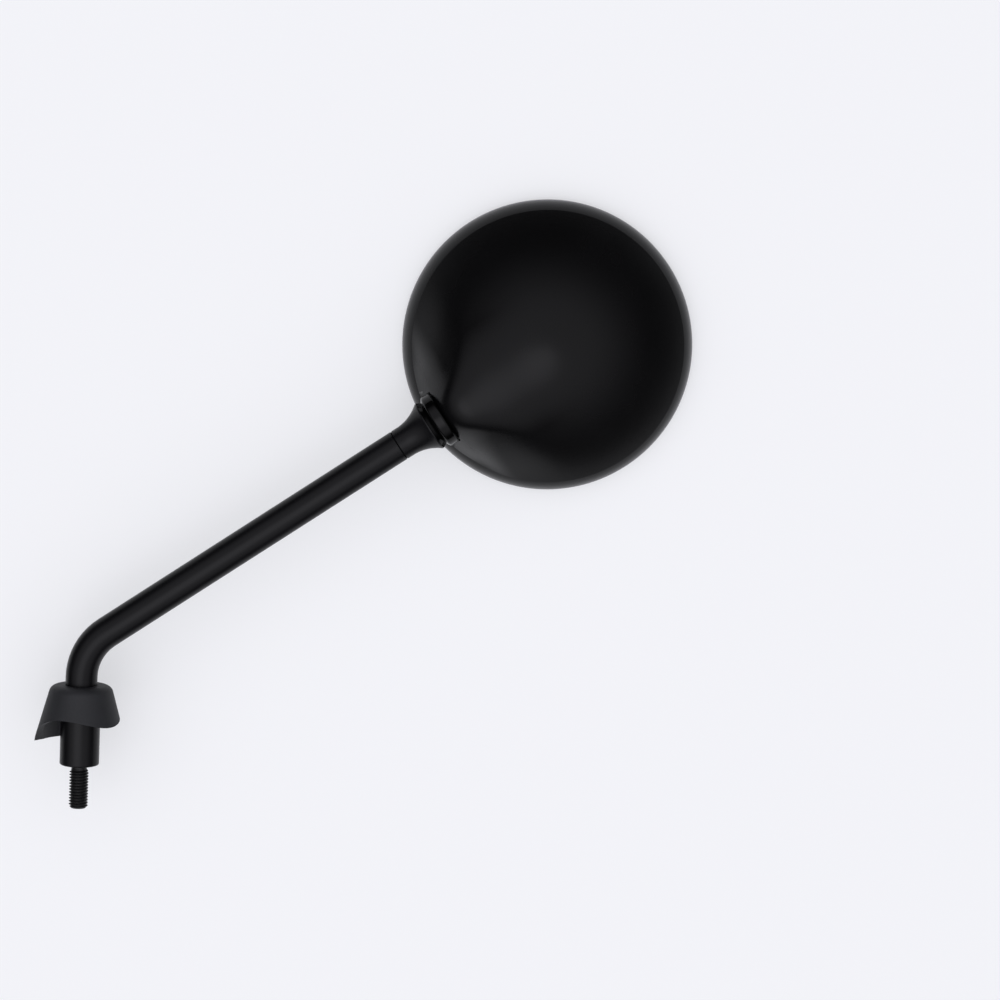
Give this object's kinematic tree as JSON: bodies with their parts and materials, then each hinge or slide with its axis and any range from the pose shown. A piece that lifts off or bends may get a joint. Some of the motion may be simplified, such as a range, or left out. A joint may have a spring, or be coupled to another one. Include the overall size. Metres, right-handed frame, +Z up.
{
  "type": "motorcycle mirror",
  "caption": "Round handlebar mirror with a domed shell on a spring-loaded spherical joint, a bent tube stem, a rubber boot and a threaded stud.",
  "frame": {"origin": "centre of the collar's seat face, where the threaded stud begins", "axes": "+Z up the stud's axis into the stem, +X towards the mirror head, +Y the way the glass faces"},
  "size_m": [0.2704, 0.0459, 0.2621],
  "materials": {
    "painted_steel": "satin",
    "boot_rubber": "matte",
    "plain_steel": "satin",
    "gloss_plastic": "gloss",
    "nylon": "matte",
    "shell_plastic": "satin",
    "foam": "matte",
    "mirror_glass": "mirror"
  },
  "bodies": {
    "stem": {"base_collar": "painted_steel", "stem_tube": "painted_steel", "pivot_pin": "plain_steel", "pressure_cup": "plain_steel", "disc_springs": "plain_steel", "flat_washer": "plain_steel", "lock_nut": "plain_steel", "nut_insert": "nylon"},
    "boot": {"rubber_boot": "boot_rubber"},
    "sleeve": {"trumpet_sleeve": "painted_steel"},
    "liner": {"seat_liner": "gloss_plastic"},
    "head": {"swivel_ring": "gloss_plastic", "head_shell": "shell_plastic", "backing_plate": "shell_plastic", "plate_screws": "plain_steel", "glass_pad": "foam", "mirror_glass": "mirror_glass", "glass_gasket": "boot_rubber"}
  },
  "joints": [
    {"name": "boot_turn", "type": "hinge", "parent": "stem", "child": "boot", "pos_m": [0, 0, 0.0298], "axis": [0, 0, 1], "continuous": true},
    {"name": "head_roll", "type": "hinge", "parent": "stem", "child": "sleeve", "pos_m": [0.15733, 0, 0.15957], "axis": [0.8192, 0, 0.5736], "continuous": true},
    {"name": "head_tilt", "type": "hinge", "parent": "sleeve", "child": "liner", "pos_m": [0.15733, 0, 0.15957], "axis": [-0.5736, 0, 0.8192], "range_deg": [-10, 10]},
    {"name": "head_turn", "type": "hinge", "parent": "liner", "child": "head", "pos_m": [0.15733, 0, 0.15957], "axis": [0, -1, 0], "range_deg": [-10, 10]}
  ]
}
